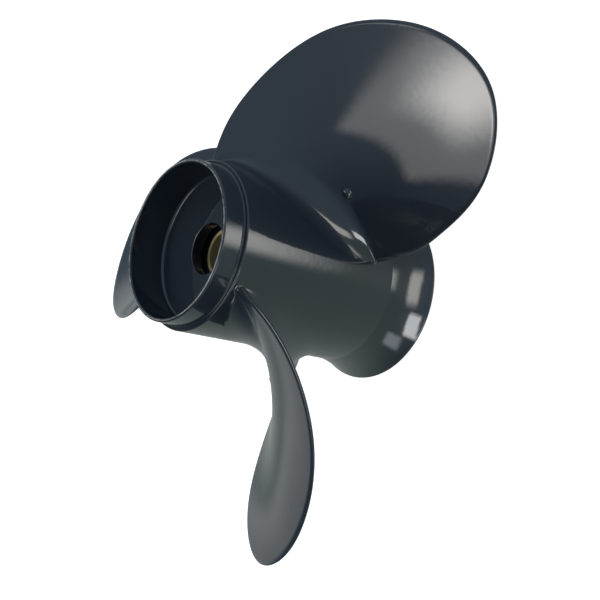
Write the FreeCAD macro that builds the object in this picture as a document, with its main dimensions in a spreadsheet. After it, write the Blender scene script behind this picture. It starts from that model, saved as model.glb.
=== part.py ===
import FreeCAD, Part
import math
import os
import Sketcher

# Three-blade right-hand outboard propeller.
# Frame: +Z is the shaft axis and points forward, towards the gearcase.
# The origin is on the axis, in the forward face of the splined sleeve, and the
# propeller stands on the rim of its rear ring. Millimetres throughout.

SIZES = [
    # name, size, what it is
    ("tip_diameter", 235.0, "circle swept by the blade tips"),
    ("hub_length", 103.4, "front rim to rear rim"),
    ("rim_to_thrust_face", 22.6, "front rim down to the sleeve's forward face"),
    ("lip_diameter", 63.1, "outside of the pilot lip"),
    ("lip_wall", 1.55, "thickness of the pilot lip"),
    ("lip_length", 8.9, "front rim to the shoulder"),
    ("lip_cove", 1.0, "cove at the foot of the lip"),
    ("shoulder_step", 1.85, "barrel proud of the lip at the shoulder"),
    ("shoulder_round", 1.0, "rounded edge of the shoulder"),
    ("barrel_taper", 1.6, "barrel radius lost from the shoulder to the rear ring"),
    ("barrel_wall", 3.0, "barrel wall at its rear end"),
    ("bowl_depth", 15.4, "front rim to the bulkhead"),
    ("bowl_corner", 1.4, "round between bowl wall and bulkhead"),
    ("bulkhead_thickness", 4.4, "front bulkhead"),
    ("bulkhead_hole", 20.1, "hole in the bulkhead"),
    ("ring_length", 19.4, "rear ring, along the axis"),
    ("ring_flare", 5.35, "rear rim proud of the barrel's rear end"),
    ("ring_edge", 1.8, "wall at the rear rim"),
    ("ring_curve", 60.0, "radius of the ring's flare"),
    ("bush_diameter", 34.0, "outside of the rubber bush"),
    ("bush_length", 50.0, "rubber bush"),
    ("bush_setback", 1.5, "rubber behind the sleeve's forward face"),
    ("bush_chamfer", 1.0, "chamfer on the bush's rims"),
    ("boss_wall", 3.5, "wall around the rubber bush"),
    ("boss_overhang", 1.5, "boss past the rear of the bush"),
    ("rib_thickness", 4.0, "ribs between boss and barrel"),
    ("sleeve_diameter", 20.0, "outside of the brass sleeve"),
    ("sleeve_length", 58.0, "brass sleeve"),
    ("sleeve_chamfer", 0.4, "chamfer on the sleeve's rims"),
    ("lead_in_diameter", 16.4, "plain bore at the front of the sleeve"),
    ("lead_in_length", 4.0, "depth of the plain bore"),
    ("spline_major", 15.9, "across the bottoms of the spline grooves"),
    ("spline_minor", 13.8, "across the spline teeth"),
    ("spline_groove", 2.5, "width of a spline groove"),
    ("spline_count", 10, "spline grooves"),
    ("fit_clearance", 0.05, "radial running clearance of the bush"),
    ("blade_count", 3, "blades, and ribs behind them"),
    ("pitch", 279.4, "advance in one turn, at the pitch radius"),
    ("pitch_radius", 57.2, "where the rated pitch is measured"),
    ("pitch_slope", -0.75, "change of pitch for each millimetre of radius"),
    ("blade_setback", 51.2, "front rim to the blade's centre line"),
    ("blade_chord", 86.8, "blade width along the screw, over both edges"),
    ("blade_edge", 1.3, "blade thickness near its edge"),
    ("blade_crown", 4.6, "extra thickness in the middle of the root"),
    ("crown_width", 23.0, "distance over which the crown fades"),
    ("root_fillet", 5.0, "height of the root fillet on the blade's face"),
    ("root_fillet_span", 12.0, "reach of the root fillet along the blade"),
    ("root_fillet_width", 20.0, "half the width over which the fillet keeps its height"),
    ("dot_diameter", 2.4, "round casting mark on the forward face"),
    ("dot_height", 0.4, "casting mark, proud of the face"),
    ("dot_reach", 12.6, "casting mark, from the shoulder's radius"),
    ("dot_offset", -2.7, "casting mark, ahead of the blade's centre line"),
]

# Blade outline, unrolled: share of the chord ahead of the blade's centre line,
# and share of the way from the shoulder's radius to the tip. It runs from inside
# the hub at the trailing edge, over the tip, to inside the hub at the leading edge.
OUTLINE = [
    (-0.161, -0.076),
    (-0.203, 0.000),
    (-0.323, 0.212),
    (-0.406, 0.441),
    (-0.440, 0.742),
    (-0.236, 0.976),
    (0.063, 0.973),
    (0.310, 0.882),
    (0.518, 0.712),
    (0.560, 0.441),
    (0.467, 0.201),
    (0.323, 0.000),
    (0.265, -0.076),
]

# Middle of the blade's root, as a share of the chord ahead of its centre line.
ROOT_MIDDLE = (OUTLINE[1][0] + OUTLINE[-2][0]) / 2

# Poles of the blade's faces, and how far the faces run past its outline.
CUBIC = 3
FACE_ROWS = 40
FACE_COLUMNS = 30
FACE_MARGIN = 4.0

document = FreeCAD.newDocument("propeller")
sheet = document.addObject("Spreadsheet::Sheet", "Sizes")
for row, (name, size, meaning) in enumerate(SIZES, start=1):
    sheet.set(f"A{row}", name)
    sheet.set(f"B{row}", str(size))
    sheet.setAlias(f"B{row}", name)
    sheet.set(f"C{row}", meaning)
document.recompute()

# Heights above the origin and radii from the axis, worked out from the sheet.
THRUST_FACE = "0"
RIM = "Sizes.rim_to_thrust_face"
SHOULDER = f"({RIM} - Sizes.lip_length)"
BARREL_TOP = f"({SHOULDER} - Sizes.shoulder_round)"
BOWL_FLOOR = f"({RIM} - Sizes.bowl_depth)"
BULKHEAD_BACK = f"({BOWL_FLOOR} - Sizes.bulkhead_thickness)"
REAR_RIM = f"({RIM} - Sizes.hub_length)"
RING_START = f"({REAR_RIM} + Sizes.ring_length)"
BUSH_FRONT = "(-Sizes.bush_setback)"
BUSH_BACK = f"({BUSH_FRONT} - Sizes.bush_length)"
BOSS_BACK = f"({BUSH_BACK} - Sizes.boss_overhang)"
SLEEVE_BACK = "(-Sizes.sleeve_length)"

LIP_RADIUS = "(Sizes.lip_diameter / 2)"
BOWL_RADIUS = f"({LIP_RADIUS} - Sizes.lip_wall)"
SHOULDER_RADIUS = f"({LIP_RADIUS} + Sizes.shoulder_step)"
BARREL_REAR_RADIUS = f"({SHOULDER_RADIUS} - Sizes.barrel_taper)"
CAVITY_RADIUS = f"({BARREL_REAR_RADIUS} - Sizes.barrel_wall)"
RING_RADIUS = f"({BARREL_REAR_RADIUS} + Sizes.ring_flare)"
SLEEVE_RADIUS = "(Sizes.sleeve_diameter / 2)"
BUSH_RADIUS = "(Sizes.bush_diameter / 2)"
BOSS_BORE = f"({BUSH_RADIUS} + Sizes.fit_clearance)"
BOSS_RADIUS = f"({BOSS_BORE} + Sizes.boss_wall)"


def value(expression):
    """The number that an expression gives for the sizes in the sheet."""
    return float(sheet.evalExpression(expression))


def body_plane(body, role):
    """One of a body's own origin planes, such as XZ_Plane."""
    return next(f for f in body.Origin.OriginFeatures if f.Role == role)


def body_sketch(body, name, plane, height=None):
    """A sketch on one of the body's own planes, raised to a height if given."""
    sketch = body.newObject("Sketcher::SketchObject", name)
    sketch.AttachmentSupport = [(body_plane(body, plane), "")]
    sketch.MapMode = "FlatFace"
    if height is not None:
        sketch.setExpression("AttachmentOffset.Base.z", height)
    return sketch


def pin_vertex(sketch, edge, end, across, up):
    """Holds one end of a sketch edge at a place given by two expressions."""
    for kind, expression in (("DistanceX", across), ("DistanceY", up)):
        constraint = Sketcher.Constraint(kind, -1, 1, edge, end, value(expression))
        index = sketch.addConstraint(constraint)
        sketch.setExpression(f"Constraints[{index}]", expression)


def profile_edge(start, end, arc_centre):
    """A line, or the shorter arc about a centre. Also says if it is reversed."""
    if arc_centre is None:
        return Part.LineSegment(start, end), False
    radius = (start - arc_centre).Length
    angles = [math.atan2(p.y - arc_centre.y, p.x - arc_centre.x) for p in (start, end)]
    backwards = (angles[1] - angles[0]) % math.tau > math.pi
    if backwards:
        angles.reverse()
    circle = Part.Circle(arc_centre, FreeCAD.Vector(0, 0, 1), radius)
    return Part.ArcOfCircle(circle, angles[0], angles[1]), backwards


def closed_profile(sketch, corners):
    """A closed profile. A corner is (across, up), or (across, up, arc radius, arc
    centre across, arc centre up) where the edge that leaves it is an arc."""
    places = [FreeCAD.Vector(value(c[0]), value(c[1]), 0) for c in corners]
    ends = []
    for index, corner in enumerate(corners):
        centre = None
        if len(corner) > 2:
            centre = FreeCAD.Vector(value(corner[3]), value(corner[4]), 0)
        following = places[(index + 1) % len(places)]
        shape, backwards = profile_edge(places[index], following, centre)
        edge = sketch.addGeometry(shape, False)
        ends.append((edge, 2, 1) if backwards else (edge, 1, 2))
        if centre is not None:
            radius = sketch.addConstraint(Sketcher.Constraint("Radius", edge, value(corner[2])))
            sketch.setExpression(f"Constraints[{radius}]", corner[2])
    for index, (edge, first, last) in enumerate(ends):
        next_edge, next_first, next_last = ends[(index + 1) % len(ends)]
        sketch.addConstraint(Sketcher.Constraint("Coincident", edge, last, next_edge, next_first))
    for (edge, first, last), corner in zip(ends, corners):
        pin_vertex(sketch, edge, first, corner[0], corner[1])


def new_body(label):
    body = document.addObject("PartDesign::Body", label)
    body.Label = label
    return body


def turned_body(label, corners):
    """A ring turned from a profile of (radius, height) corners."""
    body = new_body(label)
    sketch = body_sketch(body, f"{label}_profile", "XZ_Plane")
    closed_profile(sketch, corners)
    turning = body.newObject("PartDesign::Revolution", f"{label}_turning")
    turning.Profile = sketch
    turning.ReferenceAxis = (sketch, ["V_Axis"])
    turning.Angle = 360
    return body


def pilot_lip():
    """Thin front ring that the gearcase shrouds, with a cove at its foot."""
    foot = f"({LIP_RADIUS} + Sizes.lip_cove)"
    cove_top = f"({SHOULDER} + Sizes.lip_cove)"
    return turned_body("pilot_lip", [
        (BOWL_RADIUS, SHOULDER),
        (foot, SHOULDER, "Sizes.lip_cove", foot, cove_top),
        (LIP_RADIUS, cove_top),
        (LIP_RADIUS, RIM),
        (BOWL_RADIUS, RIM),
    ])


def hub_barrel():
    """Outer wall of the hub, from the shoulder to the rear ring."""
    round_inner = f"({SHOULDER_RADIUS} - Sizes.shoulder_round)"
    return turned_body("hub_barrel", [
        (BOWL_RADIUS, SHOULDER),
        (round_inner, SHOULDER, "Sizes.shoulder_round", round_inner, BARREL_TOP),
        (SHOULDER_RADIUS, BARREL_TOP),
        (BARREL_REAR_RADIUS, RING_START),
        (CAVITY_RADIUS, RING_START),
        (CAVITY_RADIUS, BULKHEAD_BACK),
        (BOWL_RADIUS, BULKHEAD_BACK),
    ])


def front_bulkhead():
    """Web that closes the front bowl, with a round in the bowl's corner."""
    corner_inner = f"({BOWL_RADIUS} - Sizes.bowl_corner)"
    corner_top = f"({BOWL_FLOOR} + Sizes.bowl_corner)"
    hole = "(Sizes.bulkhead_hole / 2)"
    return turned_body("front_bulkhead", [
        (hole, BULKHEAD_BACK),
        (BOWL_RADIUS, BULKHEAD_BACK),
        (BOWL_RADIUS, corner_top, "Sizes.bowl_corner", corner_inner, corner_top),
        (corner_inner, BOWL_FLOOR),
        (hole, BOWL_FLOOR),
    ])


def bush_boss():
    """Inner tube of the hub, which the rubber bush is pressed into."""
    return turned_body("bush_boss", [
        (BOSS_BORE, BULKHEAD_BACK),
        (BOSS_RADIUS, BULKHEAD_BACK),
        (BOSS_RADIUS, BOSS_BACK),
        (BOSS_BORE, BOSS_BACK),
    ])


def flare_centre(radii):
    """Centre of the flare's arc from the barrel's end to a radius at the rim."""
    start = FreeCAD.Vector(value(radii[0]), value(RING_START), 0)
    end = FreeCAD.Vector(value(radii[1]), value(REAR_RIM), 0)
    middle = (start + end) * 0.5
    chord = end - start
    outward = FreeCAD.Vector(-chord.y, chord.x, 0).normalize()
    reach = math.sqrt(value("Sizes.ring_curve") ** 2 - (chord.Length / 2) ** 2)
    centre = middle + outward * reach
    return str(centre.x), str(centre.y)


def diffuser_ring():
    """Flared ring at the rear of the hub. The propeller stands on its rim."""
    inner_rim = f"({RING_RADIUS} - Sizes.ring_edge)"
    outer_centre = flare_centre((BARREL_REAR_RADIUS, RING_RADIUS))
    inner_centre = flare_centre((CAVITY_RADIUS, inner_rim))
    return turned_body("diffuser_ring", [
        (BARREL_REAR_RADIUS, RING_START, "Sizes.ring_curve", *outer_centre),
        (RING_RADIUS, REAR_RIM),
        (inner_rim, REAR_RIM, "Sizes.ring_curve", *inner_centre),
        (CAVITY_RADIUS, RING_START),
    ])


def rubber_bush():
    """Rubber cushion between the boss and the sleeve."""
    inner = f"({SLEEVE_RADIUS} + Sizes.fit_clearance)"
    chamfer_radius = f"({BUSH_RADIUS} - Sizes.bush_chamfer)"
    return turned_body("rubber_bush", [
        (inner, BUSH_BACK),
        (chamfer_radius, BUSH_BACK),
        (BUSH_RADIUS, f"({BUSH_BACK} + Sizes.bush_chamfer)"),
        (BUSH_RADIUS, f"({BUSH_FRONT} - Sizes.bush_chamfer)"),
        (chamfer_radius, BUSH_FRONT),
        (inner, BUSH_FRONT),
    ])


def splined_sleeve():
    """Brass sleeve with a plain lead-in and broached spline grooves."""
    chamfer_radius = f"({SLEEVE_RADIUS} - Sizes.sleeve_chamfer)"
    lead_in = "(Sizes.lead_in_diameter / 2)"
    tooth = "(Sizes.spline_minor / 2)"
    body = turned_body("splined_sleeve", [
        (tooth, SLEEVE_BACK),
        (chamfer_radius, SLEEVE_BACK),
        (SLEEVE_RADIUS, f"({SLEEVE_BACK} + Sizes.sleeve_chamfer)"),
        (SLEEVE_RADIUS, "(-Sizes.sleeve_chamfer)"),
        (chamfer_radius, THRUST_FACE),
        (lead_in, THRUST_FACE),
        (lead_in, "(-Sizes.lead_in_length)"),
        (tooth, "(-Sizes.lead_in_length)"),
    ])
    grooves = body_sketch(body, "groove_profile", "XY_Plane", SLEEVE_BACK)
    half_width = "(Sizes.spline_groove / 2)"
    closed_profile(grooves, [
        ("Sizes.spline_minor / 4", f"(-{half_width})"),
        ("Sizes.spline_major / 2", f"(-{half_width})"),
        ("Sizes.spline_major / 2", half_width),
        ("Sizes.spline_minor / 4", half_width),
    ])
    groove = body.newObject("PartDesign::Pocket", "groove")
    groove.Profile = grooves
    groove.Reversed = True
    groove.setExpression("Length", "Sizes.sleeve_length")
    pattern = body.newObject("PartDesign::PolarPattern", "grooves")
    pattern.Originals = [groove]
    pattern.Axis = (grooves, ["N_Axis"])
    pattern.Angle = 360
    pattern.setExpression("Occurrences", "Sizes.spline_count")
    body.Tip = pattern
    return body


def cylinder(name, radius, low, high):
    """A Part cylinder on the axis between two heights."""
    solid = document.addObject("Part::Cylinder", name)
    solid.setExpression("Radius", radius)
    solid.setExpression("Height", f"{high} - {low}")
    solid.setExpression("Placement.Base.z", low)
    return solid


def rib(number):
    """One of the ribs that carry the boss inside the barrel."""
    plate = document.addObject("Part::Box", f"rib_plate_{number}")
    plate.setExpression("Length", CAVITY_RADIUS)
    plate.setExpression("Width", "Sizes.rib_thickness")
    plate.setExpression("Height", f"{BULKHEAD_BACK} - {BOSS_BACK}")
    plate.setExpression("Placement.Base.y", "-Sizes.rib_thickness / 2")
    plate.setExpression("Placement.Base.z", BOSS_BACK)
    space = document.addObject("Part::Cut", f"rib_space_{number}")
    space.Base = cylinder(f"rib_outside_{number}", CAVITY_RADIUS, BOSS_BACK, BULKHEAD_BACK)
    space.Tool = cylinder(f"rib_inside_{number}", BOSS_RADIUS, BOSS_BACK, BULKHEAD_BACK)
    web = document.addObject("Part::Common", f"rib_{number}")
    web.Base = plate
    web.Tool = space
    web.Label = f"rib_{number}"
    web.Placement.Rotation = FreeCAD.Rotation(FreeCAD.Vector(0, 0, 1), 0)
    web.setExpression("Placement.Rotation.Angle", f"{number - 1} * 360 / Sizes.blade_count")
    return web


def ring_middle(radii):
    """Middle of the flare's arc from the barrel's end to a radius at the rim."""
    centre = FreeCAD.Vector(*(float(place) for place in flare_centre(radii)), 0)
    ends = [FreeCAD.Vector(value(r), value(z), 0) for r, z in zip(radii, (RING_START, REAR_RIM))]
    middle = (ends[0] + ends[1]) * 0.5 - centre
    return centre + middle.normalize() * value("Sizes.ring_curve")


def barrel_radius(height):
    """Outside radius of the barrel at a height, and its taper carried on past it."""
    front = value(SHOULDER_RADIUS)
    rear = value(BARREL_REAR_RADIUS)
    share = (value(BARREL_TOP) - height) / (value(BARREL_TOP) - value(RING_START))
    return front + (rear - front) * share


def blade_height(ahead, radius):
    """Height of the blade's middle surface, a right-hand screw of changing pitch."""
    pitch = value("Sizes.pitch") + value("Sizes.pitch_slope") * (radius - value("Sizes.pitch_radius"))
    centre = value(RIM) - value("Sizes.blade_setback")
    return centre + pitch / math.tau * ahead / radius


def blade_half_thickness(ahead, radius):
    """Half the blade's thickness, measured along the shaft axis."""
    tip = value("Sizes.tip_diameter") / 2
    above_hub = radius - barrel_radius(blade_height(ahead, radius))
    to_tip = max(0.0, 1 - above_hub / (tip - value(BARREL_REAR_RADIUS)))
    from_middle = ahead - ROOT_MIDDLE * value("Sizes.blade_chord")
    fade = math.exp(-(from_middle / value("Sizes.crown_width")) ** 2)
    thickness = value("Sizes.blade_edge") + value("Sizes.blade_crown") * to_tip * fade
    near_root = max(0.0, 1 - above_hub / value("Sizes.root_fillet_span"))
    from_edges = math.exp(-(from_middle / value("Sizes.root_fillet_width")) ** 4)
    half = thickness / 2 + value("Sizes.root_fillet") * near_root ** 2.5 * from_edges
    slope = value("Sizes.pitch") / math.tau / radius
    return half * math.sqrt(1 + slope ** 2)


def blade_place(ahead, radius, side):
    """A point of the blade: side is 1 on the forward face, -1 on the rear face."""
    turn = ahead / radius
    height = blade_height(ahead, radius) + side * blade_half_thickness(ahead, radius)
    return FreeCAD.Vector(radius * math.cos(turn), radius * math.sin(turn), height)


def outline_polar():
    """The blade's outline points as (radius, angle from +X about the axis)."""
    hub = value(SHOULDER_RADIUS)
    tip = value("Sizes.tip_diameter") / 2
    points = []
    for chord_share, radial_share in OUTLINE:
        radius = hub + (tip - hub) * radial_share
        points.append((radius, chord_share * value("Sizes.blade_chord") / radius))
    return points


def clamped_knots(poles):
    """Multiplicities and knots of an even cubic spline that ends on its poles."""
    spans = poles - CUBIC
    multiplicities = [CUBIC + 1] + [1] * (spans - 1) + [CUBIC + 1]
    return multiplicities, [float(knot) for knot in range(spans + 1)]


def blade_face(side):
    """A smooth face a little wider and longer than the blade, on one side of it."""
    radii, turns = zip(*outline_polar())
    tip = value("Sizes.tip_diameter") / 2
    first_turn = min(turns) - FACE_MARGIN / tip
    last_turn = max(turns) + FACE_MARGIN / tip
    first_radius = min(radii) - FACE_MARGIN
    last_radius = tip + FACE_MARGIN
    rows = []
    for row in range(FACE_ROWS):
        radius = first_radius + (last_radius - first_radius) * row / (FACE_ROWS - 1)
        poles = []
        for column in range(FACE_COLUMNS):
            turn = first_turn + (last_turn - first_turn) * column / (FACE_COLUMNS - 1)
            poles.append(blade_place(turn * radius, radius, side))
        rows.append(poles)
    surface = Part.BSplineSurface()
    row_ends, row_knots = clamped_knots(FACE_ROWS)
    column_ends, column_knots = clamped_knots(FACE_COLUMNS)
    surface.buildFromPolesMultsKnots(
        rows, row_ends, column_ends, row_knots, column_knots, False, False, CUBIC, CUBIC)
    return surface.toShape()


def blade_prism():
    """The blade's outline as seen along the shaft, extruded past both faces."""
    places = []
    for radius, turn in outline_polar():
        places.append(FreeCAD.Vector(radius * math.cos(turn), radius * math.sin(turn), 0))
    curve = Part.BSplineCurve()
    curve.interpolate(places)
    root = Part.LineSegment(places[-1], places[0])
    wire = Part.Wire([curve.toShape(), root.toShape()])
    low = value(REAR_RIM)
    tall = value(RIM) - low
    wire.translate(FreeCAD.Vector(0, 0, low))
    return Part.Face(wire).extrude(FreeCAD.Vector(0, 0, tall))


def hub_envelope():
    """The outside of the barrel and rear ring as a solid, which the blades are
    cut to. The barrel's taper is carried on past the shoulder."""
    rim, start, rear = value(RIM), value(RING_START), value(REAR_RIM)
    flare = (BARREL_REAR_RADIUS, RING_RADIUS)
    corners = [
        FreeCAD.Vector(0, 0, rear),
        FreeCAD.Vector(0, 0, rim),
        FreeCAD.Vector(barrel_radius(rim), 0, rim),
        FreeCAD.Vector(barrel_radius(start), 0, start),
    ]
    middle = ring_middle(flare)
    rim_corner = FreeCAD.Vector(value(RING_RADIUS), 0, rear)
    arc = Part.Arc(corners[-1], FreeCAD.Vector(middle.x, 0, middle.y), rim_corner)
    outline = Part.makePolygon(corners)
    floor = Part.LineSegment(rim_corner, corners[0])
    wire = Part.Wire(outline.Edges + [arc.toShape(), floor.toShape()])
    return Part.Face(wire).revolve(FreeCAD.Vector(), FreeCAD.Vector(0, 0, 1), 360)


def casting_dot():
    """Small round casting mark on the blade's forward face."""
    ahead = value("Sizes.dot_offset")
    radius = value(SHOULDER_RADIUS) + value("Sizes.dot_reach")
    height = value("Sizes.dot_height")
    here = blade_place(ahead, radius, 1)
    along = blade_place(ahead + 1, radius, 1) - here
    outward = blade_place(ahead, radius + 1, 1) - here
    normal = outward.cross(along).normalize()
    return Part.makeCylinder(value("Sizes.dot_diameter") / 2, 2 * height, here - normal * height, normal)


def blade_shape():
    """One blade, cut to the barrel and centred on +X."""
    through = FreeCAD.Vector(0, 0, value("Sizes.hub_length"))
    above_rear_face = blade_face(-1).extrude(through)
    below_forward_face = blade_face(1).extrude(-through)
    plate = blade_prism().common(above_rear_face).common(below_forward_face)
    return plate.fuse(casting_dot()).cut(hub_envelope()).removeSplitter()


def blade(number, shape):
    feature = document.addObject("Part::Feature", f"blade_{number}")
    feature.Label = f"blade_{number}"
    feature.Shape = shape
    angle = (number - 1) * 360 / value("Sizes.blade_count")
    feature.Placement.Rotation = FreeCAD.Rotation(FreeCAD.Vector(0, 0, 1), angle)
    return feature


nodes = [
    pilot_lip(),
    hub_barrel(),
    front_bulkhead(),
    bush_boss(),
    diffuser_ring(),
    rubber_bush(),
    splined_sleeve(),
]
one_blade = blade_shape()
for number in range(1, int(value("Sizes.blade_count")) + 1):
    nodes.append(rib(number))
    nodes.append(blade(number, one_blade))
document.recompute()

for item in document.Objects:
    if "Invalid" in item.State or "Error" in item.State:
        raise RuntimeError(f"{item.Label} did not build: {item.State}")
for node in nodes:
    if node.Shape.isNull() or not node.Shape.isValid() or len(node.Shape.Solids) != 1:
        raise RuntimeError(f"{node.Label} is not one valid solid")

os.makedirs("parts", exist_ok=True)
for node in nodes:
    node.Shape.exportStep(f"parts/{node.Label}.step")
    print(node.Label, round(node.Shape.Volume, 1))
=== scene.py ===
"""Looks of the boat propeller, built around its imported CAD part.

The hub and the blades are remade as smooth meshes, with rounded edges and fuller root
fillets than the CAD part has. The ribs, the rubber bush and the sleeve keep their CAD
meshes. Lengths are in millimetres until a mesh is made, and the scene is in metres.
"""

import math

import bpy
import numpy as np
from mathutils import Matrix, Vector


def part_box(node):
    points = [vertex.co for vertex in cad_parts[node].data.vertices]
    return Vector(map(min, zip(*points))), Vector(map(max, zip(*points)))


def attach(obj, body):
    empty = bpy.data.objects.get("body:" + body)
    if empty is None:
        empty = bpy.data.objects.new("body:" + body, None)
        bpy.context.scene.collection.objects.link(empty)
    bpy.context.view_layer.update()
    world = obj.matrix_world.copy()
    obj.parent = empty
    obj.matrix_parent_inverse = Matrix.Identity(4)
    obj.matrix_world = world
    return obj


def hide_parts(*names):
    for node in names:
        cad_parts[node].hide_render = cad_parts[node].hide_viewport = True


MM = 0.001

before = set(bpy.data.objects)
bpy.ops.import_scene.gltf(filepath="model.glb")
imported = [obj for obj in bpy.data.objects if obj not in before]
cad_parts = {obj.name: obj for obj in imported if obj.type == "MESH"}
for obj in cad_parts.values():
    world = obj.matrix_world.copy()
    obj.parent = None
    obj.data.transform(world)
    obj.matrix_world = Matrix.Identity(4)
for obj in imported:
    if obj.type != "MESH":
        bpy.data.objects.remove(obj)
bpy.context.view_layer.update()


def node_box(node):
    """Lowest and highest corner of a CAD node, in millimetres."""
    low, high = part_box(node)
    return np.array(low) / MM, np.array(high) / MM


# Heights and radii read from the CAD nodes.
BARREL_HIGH = node_box("hub_barrel")[1]
LIP_HIGH = node_box("pilot_lip")[1]
RING_LOW, RING_HIGH = node_box("diffuser_ring")
BULKHEAD_LOW = node_box("front_bulkhead")[0]
BOSS_LOW, BOSS_HIGH = node_box("bush_boss")

RIM = LIP_HIGH[2]
SHOULDER = BARREL_HIGH[2]
REAR_RIM = RING_LOW[2]
RING_START = RING_HIGH[2]
BULKHEAD_BACK = BULKHEAD_LOW[2]
BOSS_BACK = BOSS_LOW[2]
SHOULDER_RADIUS = BARREL_HIGH[0]
RING_RADIUS = RING_HIGH[0]
BOSS_RADIUS = BOSS_HIGH[0]

# Sizes of the casting that no box gives.
LIP_RADIUS = 31.55
LIP_WALL = 1.55
LIP_COVE = 0.6
SHOULDER_ROUND = 1.0
SHOULDER_EDGE = 0.6
BARREL_TAPER = 1.6
BARREL_WALL = 3.0
BOWL_DEPTH = 15.4
BOWL_CORNER = 1.4
HOLE_RADIUS = 10.05
RING_EDGE = 1.8
RING_CURVE = 60.0
BOSS_BORE = 17.05
BORE_RADIUS = 7.95
# Width in millimetres over which the painted shade in the sleeve's bore fades out.
BORE_SHADE_FADE = 0.3
# Depth below the lip rim's top of its light grey band, partly rubbed paint and partly a painted
# highlight.
RIM_RUB_AND_HIGHLIGHT_DEPTH = 0.04
CAST_EDGE = 0.35
RIM_EDGE = 0.7
CAST_FILLET = 2.5
FLARE_BLEND = 2.0

# How finely the hub is meshed: turns of its section, steps round a corner and along the flare.
HUB_SEGMENTS = 256
ROUND_STEPS = 6
FLARE_STEPS = 14

BARREL_TOP = SHOULDER - SHOULDER_ROUND
BARREL_REAR = SHOULDER_RADIUS - BARREL_TAPER
CAVITY = BARREL_REAR - BARREL_WALL
BOWL_RADIUS = LIP_RADIUS - LIP_WALL
BOWL_FLOOR = RIM - BOWL_DEPTH

# Sizes of a blade.
TIP_RADIUS = 117.5
CHORD = 86.8
PITCH = 279.4
PITCH_RADIUS = 57.2
PITCH_SLOPE = -0.75
BLADE_CENTRE = RIM - 51.2
BLADE_EDGE = 1.3
BLADE_CROWN = 4.6
CROWN_WIDTH = 23.0
BLADES = 3

# Blade outline: share of the chord ahead of the blade's centre line, and share of
# the way from the shoulder's radius to the tip.
OUTLINE = [
    (-0.161, -0.076),
    (-0.203, 0.000),
    (-0.323, 0.212),
    (-0.406, 0.441),
    (-0.440, 0.742),
    (-0.236, 0.976),
    (0.063, 0.973),
    (0.310, 0.882),
    (0.518, 0.712),
    (0.560, 0.441),
    (0.467, 0.201),
    (0.323, 0.000),
    (0.265, -0.076),
]
ROOT_MIDDLE = (OUTLINE[1][0] + OUTLINE[-2][0]) / 2 * CHORD


# The mesh of a blade: rows from root to tip, columns from trailing to leading edge, and
# steps round the edge from one face to the other.
SIDE_ROWS = 70
COLUMNS = 90
FILLET_ROWS = 12
EDGE_STEPS = 16
OUTLINE_SAMPLES = 2400

# Where a blade's sides turn into its tip, as shares of the way from shoulder to tip.
TRAILING_CORNER = 0.80
LEADING_CORNER = 0.78

# The root goes this far into the barrel. Its fillet is tallest in the middle of the face
# and fades to the edges by a power, and the rounding of the edges reaches this far in.
BURIED = 0.05
FACE_FILLET = 11.0
EDGE_FILLET = 0.9
FILLET_FADE = 4
EDGE_ROUND = 2.2

# A root row's radius depends on its own height through the barrel's taper, so it is
# worked out again this many times.
ROOT_ROUNDS = 4

# The small raised mark on each blade's forward face.
MARK_AHEAD = -1.5
MARK_RADIUS = 45.3
MARK_WIDTH = 4.2
MARK_SLOPE = math.radians(60)
MARK_SUNK = 0.3
MARK_RINGS = 10
MARK_SPOKES = 32


# ---------------------------------------------------------------- mesh making


def smooth_normals(mesh):
    """Vertex normals weighted by area, so that a flat face next to a small round stays flat."""
    count = len(mesh.vertices)
    places = np.empty(count * 3)
    mesh.vertices.foreach_get("co", places)
    places = places.reshape(-1, 3)
    total = np.zeros((count, 3))
    for polygon in mesh.polygons:
        total[list(polygon.vertices)] += np.array(polygon.normal) * polygon.area
    lengths = np.maximum(np.linalg.norm(total, axis=1), 1e-12)
    mesh.normals_split_custom_set_from_vertices(total / lengths[:, None])


def new_piece(name, vertices, faces, material, body, replaced):
    """A smooth mesh, given in millimetres, that stands for some CAD nodes."""
    mesh = bpy.data.meshes.new(name)
    mesh.from_pydata((np.asarray(vertices) * MM).tolist(), [], faces)
    mesh.validate()
    mesh.shade_smooth()
    smooth_normals(mesh)
    mesh.materials.append(material)
    piece = bpy.data.objects.new(name, mesh)
    bpy.context.scene.collection.objects.link(piece)
    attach(piece, body)
    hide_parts(*replaced)
    return piece


def unit(vector):
    """A vector's direction, one long."""
    return vector / np.linalg.norm(vector)


def rounded(corners):
    """A closed outline with each corner (across, up, radius) rounded to its radius."""
    points = []
    for index, (across, up, radius) in enumerate(corners):
        here = np.array([across, up])
        before = np.array(corners[index - 1][:2])
        after = np.array(corners[(index + 1) % len(corners)][:2])
        if radius == 0:
            points.append(tuple(here))
            continue
        to_before = unit(before - here)
        to_after = unit(after - here)
        half_angle = math.acos(np.clip(to_before @ to_after, -1, 1)) / 2
        centre = here + unit(to_before + to_after) * radius / math.sin(half_angle)
        first = here + to_before * radius / math.tan(half_angle) - centre
        last = here + to_after * radius / math.tan(half_angle) - centre
        for share in np.linspace(0, 1, ROUND_STEPS + 1):
            spoke = first * (1 - share) + last * share
            points.append(tuple(centre + unit(spoke) * radius))
    return points


def flare(start, end):
    """Inner points of the ring's arc from one (radius, height) to another, hollow outwards."""
    start, end = np.array(start), np.array(end)
    chord = end - start
    outward = np.array([-chord[1], chord[0]]) / np.linalg.norm(chord)
    centre = (start + end) / 2 + outward * math.sqrt(RING_CURVE**2 - (chord @ chord) / 4)
    points = []
    for share in np.linspace(0, 1, FLARE_STEPS + 1)[1:-1]:
        point = centre + unit(start + chord * share - centre) * RING_CURVE
        points.append((point[0], point[1], 0))
    return points


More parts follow.
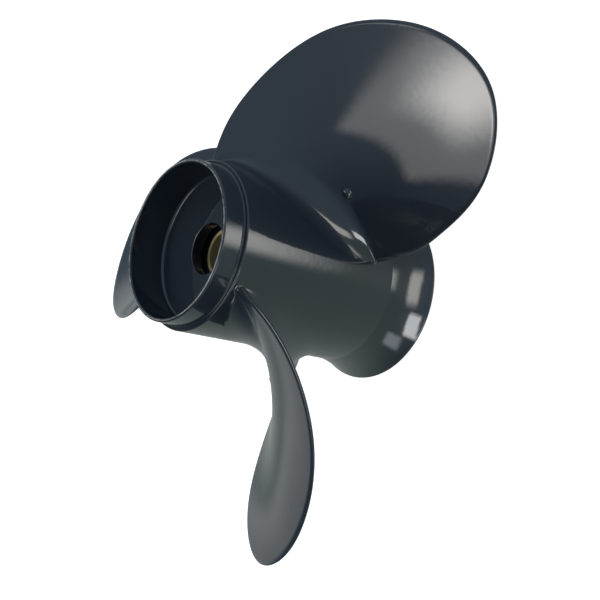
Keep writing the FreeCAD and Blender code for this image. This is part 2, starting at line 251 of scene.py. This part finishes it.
def turned(outline, segments):
    """Vertices and outward faces of a closed (radius, height) outline turned about the axis.

    The metal is on the left of the outline, seen with radius across and height up."""
    count = len(outline)
    vertices = []
    for step in range(segments):
        turn = math.tau * step / segments
        vertices += [(r * math.cos(turn), r * math.sin(turn), z) for r, z in outline]
    faces = []
    for step in range(segments):
        here = step * count
        there = (step + 1) % segments * count
        for index in range(count):
            following = (index + 1) % count
            faces.append((here + index, there + index, there + following, here + following))
    return vertices, faces


def quads(sheet):
    """Faces between neighbouring rows and columns of vertex numbers."""
    corners = (sheet[:-1, :-1], sheet[:-1, 1:], sheet[1:, 1:], sheet[1:, :-1])
    return np.stack(corners, axis=-1).reshape(-1, 4).tolist()


# ---------------------------------------------------------------- hub


def hub_outline():
    """The casting's section: lip, barrel, ring, cavity, boss and bowl."""
    inner_rim = RING_RADIUS - RING_EDGE
    corners = [
        (BOWL_RADIUS, RIM, RIM_EDGE),
        (BOWL_RADIUS, BOWL_FLOOR, BOWL_CORNER),
        (HOLE_RADIUS, BOWL_FLOOR, CAST_EDGE),
        (HOLE_RADIUS, BULKHEAD_BACK, CAST_EDGE),
        (BOSS_BORE, BULKHEAD_BACK, CAST_EDGE),
        (BOSS_BORE, BOSS_BACK, CAST_EDGE),
        (BOSS_RADIUS, BOSS_BACK, CAST_EDGE),
        (BOSS_RADIUS, BULKHEAD_BACK, CAST_FILLET),
        (CAVITY, BULKHEAD_BACK, CAST_FILLET),
        (CAVITY, RING_START, 0),
        *flare((CAVITY, RING_START), (inner_rim, REAR_RIM)),
        (inner_rim, REAR_RIM, CAST_EDGE),
        (RING_RADIUS, REAR_RIM, RIM_EDGE),
        *reversed(flare((BARREL_REAR, RING_START), (RING_RADIUS, REAR_RIM))),
        (BARREL_REAR, RING_START, FLARE_BLEND),
        (SHOULDER_RADIUS, SHOULDER, SHOULDER_EDGE),
        (LIP_RADIUS, SHOULDER, LIP_COVE),
        (LIP_RADIUS, RIM, RIM_EDGE),
    ]
    return rounded(corners)


def make_hub(material):
    """The hub's five CAD nodes as one turned piece."""
    vertices, faces = turned(hub_outline(), HUB_SEGMENTS)
    nodes = ["pilot_lip", "hub_barrel", "front_bulkhead", "bush_boss", "diffuser_ring"]
    return new_piece("hub_casting", vertices, faces, material, "casting", nodes)


# ---------------------------------------------------------------- blades


def barrel_radius(height):
    """Outside radius of the barrel, its taper carried on past its ends."""
    return SHOULDER_RADIUS - BARREL_TAPER * (BARREL_TOP - height) / (BARREL_TOP - RING_START)


def screw_slope(radius):
    """Rise of the blade for each millimetre along its circle."""
    return (PITCH + PITCH_SLOPE * (radius - PITCH_RADIUS)) / math.tau / radius


def middle_height(ahead, radius):
    """Height of the blade's middle surface."""
    return BLADE_CENTRE + screw_slope(radius) * ahead


def half_thickness(ahead, radius):
    """Half the blade's thickness, square to its face."""
    above_hub = radius - barrel_radius(middle_height(ahead, radius))
    to_tip = np.clip(1 - above_hub / (TIP_RADIUS - BARREL_REAR), 0, None)
    fade = np.exp(-(((ahead - ROOT_MIDDLE) / CROWN_WIDTH) ** 2))
    return (BLADE_EDGE + BLADE_CROWN * to_tip * fade) / 2


def spline_through(points, count):
    """Even samples of the smooth curve through some points."""
    points = np.array(points)
    steps = np.linalg.norm(np.diff(points, axis=0), axis=1)
    knots = np.concatenate(([0.0], np.cumsum(steps)))
    size = len(points)
    system = np.eye(size)
    target = np.zeros((size, 2))
    for index in range(1, size - 1):
        before, after = steps[index - 1], steps[index]
        system[index, index - 1 : index + 2] = before, 2 * (before + after), after
        rise = (points[index + 1] - points[index]) / after
        target[index] = 6 * (rise - (points[index] - points[index - 1]) / before)
    bends = np.linalg.solve(system, target)
    at = np.linspace(0, knots[-1], count)
    span = np.clip(np.searchsorted(knots, at, side="right") - 1, 0, size - 2)
    width = steps[span][:, None]
    left = (knots[span + 1] - at)[:, None] / width
    right = 1 - left
    straight = left * points[span] + right * points[span + 1]
    bent = (left**3 - left) * bends[span] + (right**3 - right) * bends[span + 1]
    return straight + bent * width**2 / 6


def blade_outline():
    """The outline as even samples of (ahead, radius), from trailing root to leading root."""
    places = []
    for chord_share, radial_share in OUTLINE:
        radius = SHOULDER_RADIUS + (TIP_RADIUS - SHOULDER_RADIUS) * radial_share
        turn = chord_share * CHORD / radius
        places.append((radius * math.cos(turn), radius * math.sin(turn)))
    across, up = spline_through(places, OUTLINE_SAMPLES).T
    radius = np.hypot(across, up)
    return np.column_stack([np.arctan2(up, across) * radius, radius])


def true_length(step, radius):
    """A step of (ahead, radius) as lengths along the blade's own surface."""
    stretch = np.sqrt(1 + screw_slope(radius) ** 2)
    return np.column_stack([step[:, 0] * stretch, step[:, 1]])


def resampled(curve, count):
    """A curve of (ahead, radius) sampled evenly by its true length."""
    steps = np.linalg.norm(true_length(np.diff(curve, axis=0), curve[1:, 1]), axis=1)
    travelled = np.concatenate(([0.0], np.cumsum(steps)))
    at = np.linspace(0, travelled[-1], count)
    return np.column_stack([np.interp(at, travelled, curve[:, axis]) for axis in (0, 1)])


def inward_steps(curve):
    """Unit steps square to a curve of (ahead, radius), towards the blade's middle."""
    along = true_length(np.gradient(curve, axis=0), curve[:, 1])
    along /= np.linalg.norm(along, axis=1)[:, None]
    stretch = np.sqrt(1 + screw_slope(curve[:, 1]) ** 2)
    return np.column_stack([along[:, 1] / stretch, -along[:, 0]])


def radius_at(share):
    """Radius at a share of the way from the shoulder's radius to the tip."""
    return SHOULDER_RADIUS + (TIP_RADIUS - SHOULDER_RADIUS) * share


def blade_sides():
    """The outline's trailing side, its tip, and its leading side, each side from the root up."""
    outline = blade_outline()
    top = int(np.argmax(outline[:, 1]))
    first = int(np.searchsorted(outline[:top, 1], radius_at(TRAILING_CORNER)))
    from_root = outline[top:][::-1]
    last = len(outline) - int(np.searchsorted(from_root[:, 1], radius_at(LEADING_CORNER)))
    return outline[: first + 1], outline[first:last], outline[last - 1 :][::-1]


def root_rows(trailing, leading):
    """Rows of (ahead, radius, swelling) from inside the barrel's wall to the root fillet's end.

    The swelling is how far the fillet stands off the blade's own face."""
    share = np.linspace(0, 1, COLUMNS + 1)
    middling = 1 - np.abs(2 * share - 1) ** FILLET_FADE
    fillet = EDGE_FILLET + (FACE_FILLET - EDGE_FILLET) * middling
    climb = np.linspace(0, math.pi / 2, FILLET_ROWS)
    rises = [np.full_like(share, -BURIED), *(fillet * (1 - math.cos(angle)) for angle in climb)]
    swells = [fillet, *(fillet * (1 - math.sin(angle)) for angle in climb)]
    rows = []
    for rise, swell in zip(rises, swells):
        radius = np.full_like(share, SHOULDER_RADIUS)
        for _ in range(ROOT_ROUNDS):
            low = np.interp(radius, trailing[:, 1], trailing[:, 0])
            high = np.interp(radius, leading[:, 1], leading[:, 0])
            ahead = low + (high - low) * share
            radius = barrel_radius(middle_height(ahead, radius)) + rise
        rows.append(np.column_stack([ahead, radius, swell]))
    return rows


def edge_loop(rows, trailing, tip, leading):
    """The blade's edge: up the trailing side, over the tip and down the leading side."""
    lowest = rows[-1]
    up = resampled(trailing[trailing[:, 1] >= lowest[0, 1]], SIDE_ROWS + 1)
    down = resampled(leading[leading[:, 1] >= lowest[-1, 1]], SIDE_ROWS + 1)[::-1]
    up[0] = lowest[0, :2]
    down[-1] = lowest[-1, :2]
    over = resampled(tip, COLUMNS + 1)
    trailing_root = [row[0, :2] for row in rows[:-1]]
    leading_root = [row[-1, :2] for row in reversed(rows[:-1])]
    return np.concatenate([trailing_root, up[:-1], over, down[1:], leading_root])


def edge_inward(loop):
    """Unit steps from the edge towards the blade's middle, level along the root fillet."""
    inward = inward_steps(loop)
    level = 1 / np.sqrt(1 + screw_slope(loop[:, 1]) ** 2)
    count = FILLET_ROWS + 1
    inward[:count] = np.column_stack([level[:count], np.zeros(count)])
    inward[-count:] = np.column_stack([-level[-count:], np.zeros(count)])
    return inward


def face_grid(rows, inner):
    """(ahead, radius) and the swelling over a face whose border is the inner loop."""
    total = FILLET_ROWS + SIDE_ROWS + 1
    share = np.linspace(0, 1, COLUMNS + 1)[:, None]
    trailing = inner[:total]
    leading = inner[::-1][:total]
    crest = inner[total - 1 : total + COLUMNS]
    grid = np.zeros((total, COLUMNS + 1, 2))
    swell = np.zeros((total, COLUMNS + 1))
    for index, row in enumerate(rows):
        ahead = trailing[index, 0] * (1 - share) + leading[index, 0] * share
        grid[index] = np.column_stack([ahead, row[:, 1]])
        swell[index] = row[:, 2]
    base = grid[FILLET_ROWS].copy()
    for index in range(FILLET_ROWS + 1, total):
        up = (index - FILLET_ROWS) / SIDE_ROWS
        sides = trailing[index] * (1 - share) + leading[index] * share
        ends = base * (1 - up) + crest * up
        foot = base[0] * (1 - share) + base[-1] * share
        head = crest[0] * (1 - share) + crest[-1] * share
        grid[index] = sides + ends - foot * (1 - up) - head * up
    return grid, swell


def blade_mesh():
    """Vertices and faces of one closed blade centred on +X."""
    trailing, tip, leading = blade_sides()
    rows = root_rows(trailing, leading)
    loop = edge_loop(rows, trailing, tip, leading)
    inward = edge_inward(loop)
    grid, swell = face_grid(rows, loop + inward * EDGE_ROUND)
    ahead, radius = grid.reshape(-1, 2).T
    vertices = [blade_points(ahead, radius, swell.ravel(), side, 0) for side in (1, -1)]
    forward = np.arange(swell.size).reshape(swell.shape)
    rear = forward + swell.size

    # The edge's bands, from the forward face's border to the rear face's.
    border = np.concatenate([forward[:, 0], forward[-1, 1:], forward[-2::-1, -1]])
    loop_swell = np.zeros(len(loop))
    loop_swell[: len(rows)] = [row[0, 2] for row in rows]
    loop_swell[-len(rows) :] = loop_swell[: len(rows)][::-1]
    bands = [border]
    made = 2 * swell.size
    for roll in np.linspace(math.pi / 2, -math.pi / 2, EDGE_STEPS + 1)[1:-1]:
        place = loop + inward * EDGE_ROUND * (1 - math.cos(roll))
        outward = -inward[:, 0] * math.cos(roll)
        vertices.append(blade_points(*place.T, loop_swell, math.sin(roll), outward))
        bands.append(made + np.arange(len(loop)))
        made += len(loop)
    bands.append(border + swell.size)
    bands = np.array(bands)

    faces = quads(forward[:, ::-1]) + quads(rear) + quads(bands[::-1])
    faces += quads(np.array([forward[0], rear[0]]))
    faces += [bands[::-1, 0].tolist(), bands[:, -1].tolist()]
    return np.concatenate(vertices), faces


def blade_mark():
    """Vertices and faces of the raised mark, a low dome with its foot inside the blade."""
    ball = MARK_WIDTH / 2 / math.sin(MARK_SLOPE)
    climb = np.linspace(0, MARK_SLOPE, MARK_RINGS + 1)[1:]
    rings = np.append(np.sin(climb) * ball, MARK_WIDTH / 2)
    heights = np.append((np.cos(climb) - math.cos(MARK_SLOPE)) * ball, -MARK_SUNK)
    angles = np.linspace(0, math.tau, MARK_SPOKES, endpoint=False)
    reach, turn = np.meshgrid(rings, angles, indexing="ij")
    stretch = math.sqrt(1 + screw_slope(MARK_RADIUS) ** 2)
    ahead = MARK_AHEAD + reach * np.cos(turn) / stretch
    radius = MARK_RADIUS + reach * np.sin(turn)
    rise = np.repeat(heights, MARK_SPOKES)
    numbers = np.arange(reach.size).reshape(reach.shape)
    closed = np.hstack([numbers, numbers[:, :1]])
    faces = quads(closed) + [numbers[0, ::-1].tolist(), numbers[-1].tolist()]
    return blade_points(ahead.ravel(), radius.ravel(), rise, 1, 0), faces


def blade_points(ahead, radius, swell, side, outward):
    """Places on a blade. side is 1 on the forward face and -1 on the rear face, and less
    round the edge, where outward is the direction of the root fillet's swelling."""
    slope = screw_slope(radius)
    stretch = np.sqrt(1 + slope**2)
    thick = half_thickness(ahead, radius)
    ahead = ahead + outward * swell
    level = middle_height(ahead, radius)
    out = side * (thick + swell)
    ahead = ahead - out * slope / stretch
    height = level + out / stretch
    above = radius - barrel_radius(level)
    fade = np.clip(1 - (above - FACE_FILLET) / (2 * FACE_FILLET), 0, 1)
    radius_here = radius + (barrel_radius(height) - barrel_radius(level)) * fade
    turn = ahead / radius
    return np.column_stack([radius_here * np.cos(turn), radius_here * np.sin(turn), height])


def make_blades(material):
    """The three blades, alike and evenly spaced, each with its mark."""
    blade, faces = blade_mesh()
    mark, mark_faces = blade_mark()
    vertices = np.concatenate([blade, mark])
    faces += [[vertex + len(blade) for vertex in face] for face in mark_faces]
    for number in range(1, BLADES + 1):
        turn = math.tau * (number - 1) / BLADES
        ahead = np.array([math.cos(turn), math.sin(turn), 0])
        aside = np.array([-math.sin(turn), math.cos(turn), 0])
        placed = vertices @ np.array([ahead, aside, (0, 0, 1)])
        name = f"blade_casting_{number}"
        new_piece(name, placed, faces, material, "casting", [f"blade_{number}"])


# ---------------------------------------------------------------- materials


def new_material(name):
    """A material with only its output and a Principled shader."""
    material = bpy.data.materials.new(name)
    material.use_nodes = True
    return material, material.node_tree, material.node_tree.nodes["Principled BSDF"]


def object_noise(tree, scale, detail=2.0):
    """Noise fixed to the piece, with a scale in bumps for each metre."""
    place = tree.nodes.new("ShaderNodeTexCoord")
    noise = tree.nodes.new("ShaderNodeTexNoise")
    noise.inputs["Scale"].default_value = scale
    noise.inputs["Detail"].default_value = detail
    tree.links.new(place.outputs["Object"], noise.inputs["Vector"])
    return noise.outputs["Fac"]


def spread(tree, source, low, high, to_low, to_high):
    """A value carried from one range to another."""
    node = tree.nodes.new("ShaderNodeMapRange")
    limits = {"From Min": low, "From Max": high, "To Min": to_low, "To Max": to_high}
    for name, amount in limits.items():
        node.inputs[name].default_value = amount
    tree.links.new(source, node.inputs["Value"])
    return node.outputs["Result"]


def colour_blend(tree, factor, first, second):
    """A colour between two, by a factor. Each of the two is a colour or a node's output."""
    node = tree.nodes.new("ShaderNodeMix")
    node.data_type = "RGBA"
    tree.links.new(factor, node.inputs[0])
    for socket, colour in ((node.inputs[6], first), (node.inputs[7], second)):
        if isinstance(colour, tuple):
            socket.default_value = (*colour, 1)
        else:
            tree.links.new(colour, socket)
    return node.outputs[2]


def bump(tree, shader, source, distance):
    """Surface relief of some depth, in metres."""
    node = tree.nodes.new("ShaderNodeBump")
    node.inputs["Distance"].default_value = distance
    tree.links.new(source, node.inputs["Height"])
    tree.links.new(node.outputs["Normal"], shader.inputs["Normal"])
    return node.outputs["Normal"]


def multiplied(tree, first, second):
    """The product of two values."""
    node = tree.nodes.new("ShaderNodeMath")
    node.operation = "MULTIPLY"
    tree.links.new(first, node.inputs[0])
    tree.links.new(second, node.inputs[1])
    return node.outputs[0]


def axes(tree, kind="Object"):
    """The three coordinates of a place, by default on the piece itself."""
    place = tree.nodes.new("ShaderNodeTexCoord")
    split = tree.nodes.new("ShaderNodeSeparateXYZ")
    tree.links.new(place.outputs[kind], split.inputs[0])
    return split.outputs


def roughen(tree, shader, noise, smoothest, roughest):
    """Roughness that wanders between two values with some noise."""
    roughness = spread(tree, noise, 0.3, 0.7, smoothest, roughest)
    tree.links.new(roughness, shader.inputs["Roughness"])


def gloss_paint():
    """Black gloss paint over cast aluminium, with a faint orange peel, and light grey patches on
    the lip rim's top that are partly rubbed paint and partly a painted highlight.
    """
    material, tree, shader = new_material("gloss_black_paint")
    dark, light = (0.012, 0.016, 0.022), (0.015, 0.019, 0.025)
    base = colour_blend(tree, object_noise(tree, 25), dark, light)
    # Light grey patches on the rim's top: partly rubbed paint, partly a painted highlight.
    on_rim = spread(tree, axes(tree)["Z"], (RIM - RIM_RUB_AND_HIGHLIGHT_DEPTH) * MM, RIM * MM, 0, 1)
    patches = spread(tree, object_noise(tree, 350, 3.0), 0.35, 0.60, 0.15, 1)
    rubbed_and_highlit = colour_blend(tree, multiplied(tree, on_rim, patches), base, (0.36, 0.34, 0.30))
    tree.links.new(rubbed_and_highlit, shader.inputs["Base Color"])
    roughen(tree, shader, object_noise(tree, 60, 4.0), 0.28, 0.36)
    shader.inputs["Specular IOR Level"].default_value = 0.12
    shader.inputs["Coat Weight"].default_value = 1.0
    shader.inputs["Coat Roughness"].default_value = 0.04
    shader.inputs["Coat IOR"].default_value = 1.5
    relief = bump(tree, shader, object_noise(tree, 420, 1.0), 0.000012)
    tree.links.new(relief, shader.inputs["Coat Normal"])
    return material


def brass():
    """Turned brass, dulled a little, with painted shade: near-black inside the splined bore."""
    material, tree, shader = new_material("turned_brass")
    bright, dull = (0.86, 0.68, 0.34), (0.70, 0.52, 0.23)
    tarnish = colour_blend(tree, object_noise(tree, 180, 5.0), bright, dull)
    place = axes(tree)
    level = tree.nodes.new("ShaderNodeCombineXYZ")
    tree.links.new(place["X"], level.inputs["X"])
    tree.links.new(place["Y"], level.inputs["Y"])
    reach = tree.nodes.new("ShaderNodeVectorMath")
    reach.operation = "LENGTH"
    tree.links.new(level.outputs[0], reach.inputs[0])
    # Painted shade: the brass turns near-black inside the bore's radius, where the bore lies in
    # shade.
    outside_bore = (BORE_RADIUS + BORE_SHADE_FADE) * MM
    bore_shade = spread(tree, reach.outputs["Value"], outside_bore, BORE_RADIUS * MM, 0, 1)
    brass_and_bore_shade = colour_blend(tree, bore_shade, tarnish, (0.008, 0.006, 0.004))
    tree.links.new(brass_and_bore_shade, shader.inputs["Base Color"])
    shader.inputs["Metallic"].default_value = 0.6
    roughen(tree, shader, object_noise(tree, 500, 4.0), 0.30, 0.45)
    bump(tree, shader, object_noise(tree, 2500, 2.0), 0.00002)
    return material


def bush_rubber():
    """Matt moulded rubber."""
    material, tree, shader = new_material("moulded_rubber")
    black, bloomed = (0.012, 0.012, 0.012), (0.028, 0.027, 0.026)
    bloom = colour_blend(tree, object_noise(tree, 120, 5.0), black, bloomed)
    tree.links.new(bloom, shader.inputs["Base Color"])
    roughen(tree, shader, object_noise(tree, 300, 4.0), 0.55, 0.75)
    bump(tree, shader, object_noise(tree, 1500, 4.0), 0.00006)
    return material


paint = gloss_paint()
make_hub(paint)
make_blades(paint)


def refinish(node, material):
    """Gives a CAD node another material."""
    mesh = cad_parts[node].data
    mesh.materials.clear()
    mesh.materials.append(material)


refinish("splined_sleeve", brass())
refinish("rubber_bush", bush_rubber())
for number in range(1, BLADES + 1):
    refinish(f"rib_{number}", paint)

# ---------------------------------------------------------------- camera

# The photograph's camera, fitted to it: its place in metres, its axes, and its lens for a
# sensor of this width, both in millimetres.
CAMERA_LENS = 72.33
SENSOR_WIDTH = 36
CAMERA_PLACE = (0.230951, -0.309308, 0.265150)
CAMERA_RIGHT = (0.566749, -0.323689, -0.757642)
CAMERA_UP = (0.666586, 0.720603, 0.190771)
CAMERA_BACK = (0.484209, -0.613153, 0.624168)


def make_camera():
    """The scene's camera, where the photograph's stood."""
    data = bpy.data.cameras.new("camera")
    data.lens = CAMERA_LENS
    data.sensor_width = SENSOR_WIDTH
    camera = bpy.data.objects.new("camera", data)
    bpy.context.scene.collection.objects.link(camera)
    turn = Matrix([CAMERA_RIGHT, CAMERA_UP, CAMERA_BACK]).transposed()
    camera.matrix_world = Matrix.Translation(CAMERA_PLACE) @ turn.to_4x4()
    bpy.context.scene.camera = camera


make_camera()

# ---------------------------------------------------------------- studio

# Half the floor's width in metres, and its gap below the rear rim in millimetres.
FLOOR_HALF = 4.0
FLOOR_GAP = 0.2

# Soft panels, all this far from the origin in metres: name, azimuth and elevation in
# degrees, half width and half height in degrees, softness of the edges, colour, brightness.
PANEL_DISTANCE = 2.0
PANELS = [
    ("key_panel", 186, 69.5, 20, 20, 0.3, (1.02, 1.00, 0.96), 1.9),
    ("key_core", 165, 71, 15, 13, 0.9, (1.00, 0.97, 0.94), 9.0),
    ("key_tail", 106, 72, 14, 6, 0.7, (1.00, 1.00, 0.97), 4.0),
    ("window_panel", -79, -7.5, 17, 6, 0.4, (0.98, 1.00, 1.02), 9.6),
    ("dim_panel", -106, -17, 12, 8, 0.6, (0.92, 1.00, 1.08), 2.5),
    ("warm_panel", -34, -13.5, 27, 6.5, 0.6, (1.05, 1.00, 0.94), 5.3),
    ("sill_panel", -28, -35, 17, 9, 0.8, (1.02, 1.00, 0.96), 4.4),
    ("far_panel", 134, -1, 44, 13, 0.7, (1.02, 1.00, 0.95), 0.33),
]


def direction(azimuth, elevation):
    """Unit vector of a direction given in degrees."""
    a, e = math.radians(azimuth), math.radians(elevation)
    return np.array([math.cos(a) * math.cos(e), math.sin(a) * math.cos(e), math.sin(e)])


def panel_fade(tree, coordinate, softness):
    """1 in the middle of a panel and 0 at its edges, along one of its axes."""
    distance = tree.nodes.new("ShaderNodeMath")
    distance.operation = "ABSOLUTE"
    tree.links.new(coordinate, distance.inputs[0])
    fade = spread(tree, distance.outputs[0], 1 - softness, 1, 1, 0)
    fade.node.interpolation_type = "SMOOTHSTEP"
    return fade


def panel_material(name, softness, colour, brightness):
    """Light that is added to what lies behind it, and fades towards the panel's edges."""
    material = bpy.data.materials.new(name)
    material.use_nodes = True
    tree = material.node_tree
    tree.nodes.clear()
    place = axes(tree)
    fades = [panel_fade(tree, place[axis], softness) for axis in ("X", "Y")]
    strength = spread(tree, multiplied(tree, *fades), 0, 1, 0, brightness)
    light = tree.nodes.new("ShaderNodeEmission")
    light.inputs["Color"].default_value = (*colour, 1)
    tree.links.new(strength, light.inputs["Strength"])
    clear = tree.nodes.new("ShaderNodeBsdfTransparent")
    added = tree.nodes.new("ShaderNodeAddShader")
    tree.links.new(clear.outputs[0], added.inputs[0])
    tree.links.new(light.outputs[0], added.inputs[1])
    output = tree.nodes.new("ShaderNodeOutputMaterial")
    tree.links.new(added.outputs[0], output.inputs["Surface"])
    return material


def make_panel(name, azimuth, elevation, half_width, half_height, softness, colour, brightness):
    """A glowing card that faces the object and that the camera doesn't see."""
    mesh = bpy.data.meshes.new(name)
    mesh.from_pydata([(-1, -1, 0), (1, -1, 0), (1, 1, 0), (-1, 1, 0)], [], [(0, 1, 2, 3)])
    mesh.materials.append(panel_material(name, softness, colour, brightness))
    card = bpy.data.objects.new(name, mesh)
    bpy.context.scene.collection.objects.link(card)
    back = direction(azimuth, elevation)
    right = direction(azimuth + 90, 0)
    turn = Matrix([right, np.cross(back, right), back]).transposed().to_4x4()
    wide = PANEL_DISTANCE * math.tan(math.radians(half_width))
    tall = PANEL_DISTANCE * math.tan(math.radians(half_height))
    place = Matrix.Translation(back * PANEL_DISTANCE)
    card.matrix_world = place @ turn @ Matrix.Diagonal((wide, tall, 1, 1))
    card.visible_camera = False


def make_world():
    """Dim room: cool above, darker away from the windows, and pale below."""
    world = bpy.data.worlds.new("studio")
    bpy.context.scene.world = world
    world.use_nodes = True
    tree = world.node_tree
    towards = axes(tree, "Generated")
    across = spread(tree, towards["X"], -0.55, 0.4, 0, 1)
    above = colour_blend(tree, across, (0.09, 0.13, 0.17), (0.43, 0.57, 0.70))
    along = spread(tree, towards["Y"], 0.2, -0.5, 0, 1)
    below = colour_blend(tree, along, (0.28, 0.31, 0.30), (0.40, 0.50, 0.47))
    upwards = spread(tree, towards["Z"], -0.4, 0.1, 0, 1)
    room = colour_blend(tree, upwards, below, above)
    tree.links.new(room, tree.nodes["Background"].inputs["Color"])


def make_floor():
    """Pale floor under the rear rim. Reflections look past it, to the room."""
    height = (REAR_RIM - FLOOR_GAP) * MM
    signs = [(-1, -1), (1, -1), (1, 1), (-1, 1)]
    corners = [(x * FLOOR_HALF, y * FLOOR_HALF, height) for x, y in signs]
    mesh = bpy.data.meshes.new("floor")
    mesh.from_pydata(corners, [], [(0, 1, 2, 3)])
    material, tree, shader = new_material("pale_floor")
    shader.inputs["Base Color"].default_value = (0.4, 0.4, 0.4, 1)
    shader.inputs["Roughness"].default_value = 0.9
    shader.inputs["Emission Color"].default_value = (1, 1, 1, 1)
    shader.inputs["Emission Strength"].default_value = 0.97
    mesh.materials.append(material)
    floor = bpy.data.objects.new("floor", mesh)
    bpy.context.scene.collection.objects.link(floor)
    floor.visible_glossy = False


make_world()
for panel in PANELS:
    make_panel(*panel)
make_floor()
bpy.context.scene.view_settings.view_transform = "Standard"
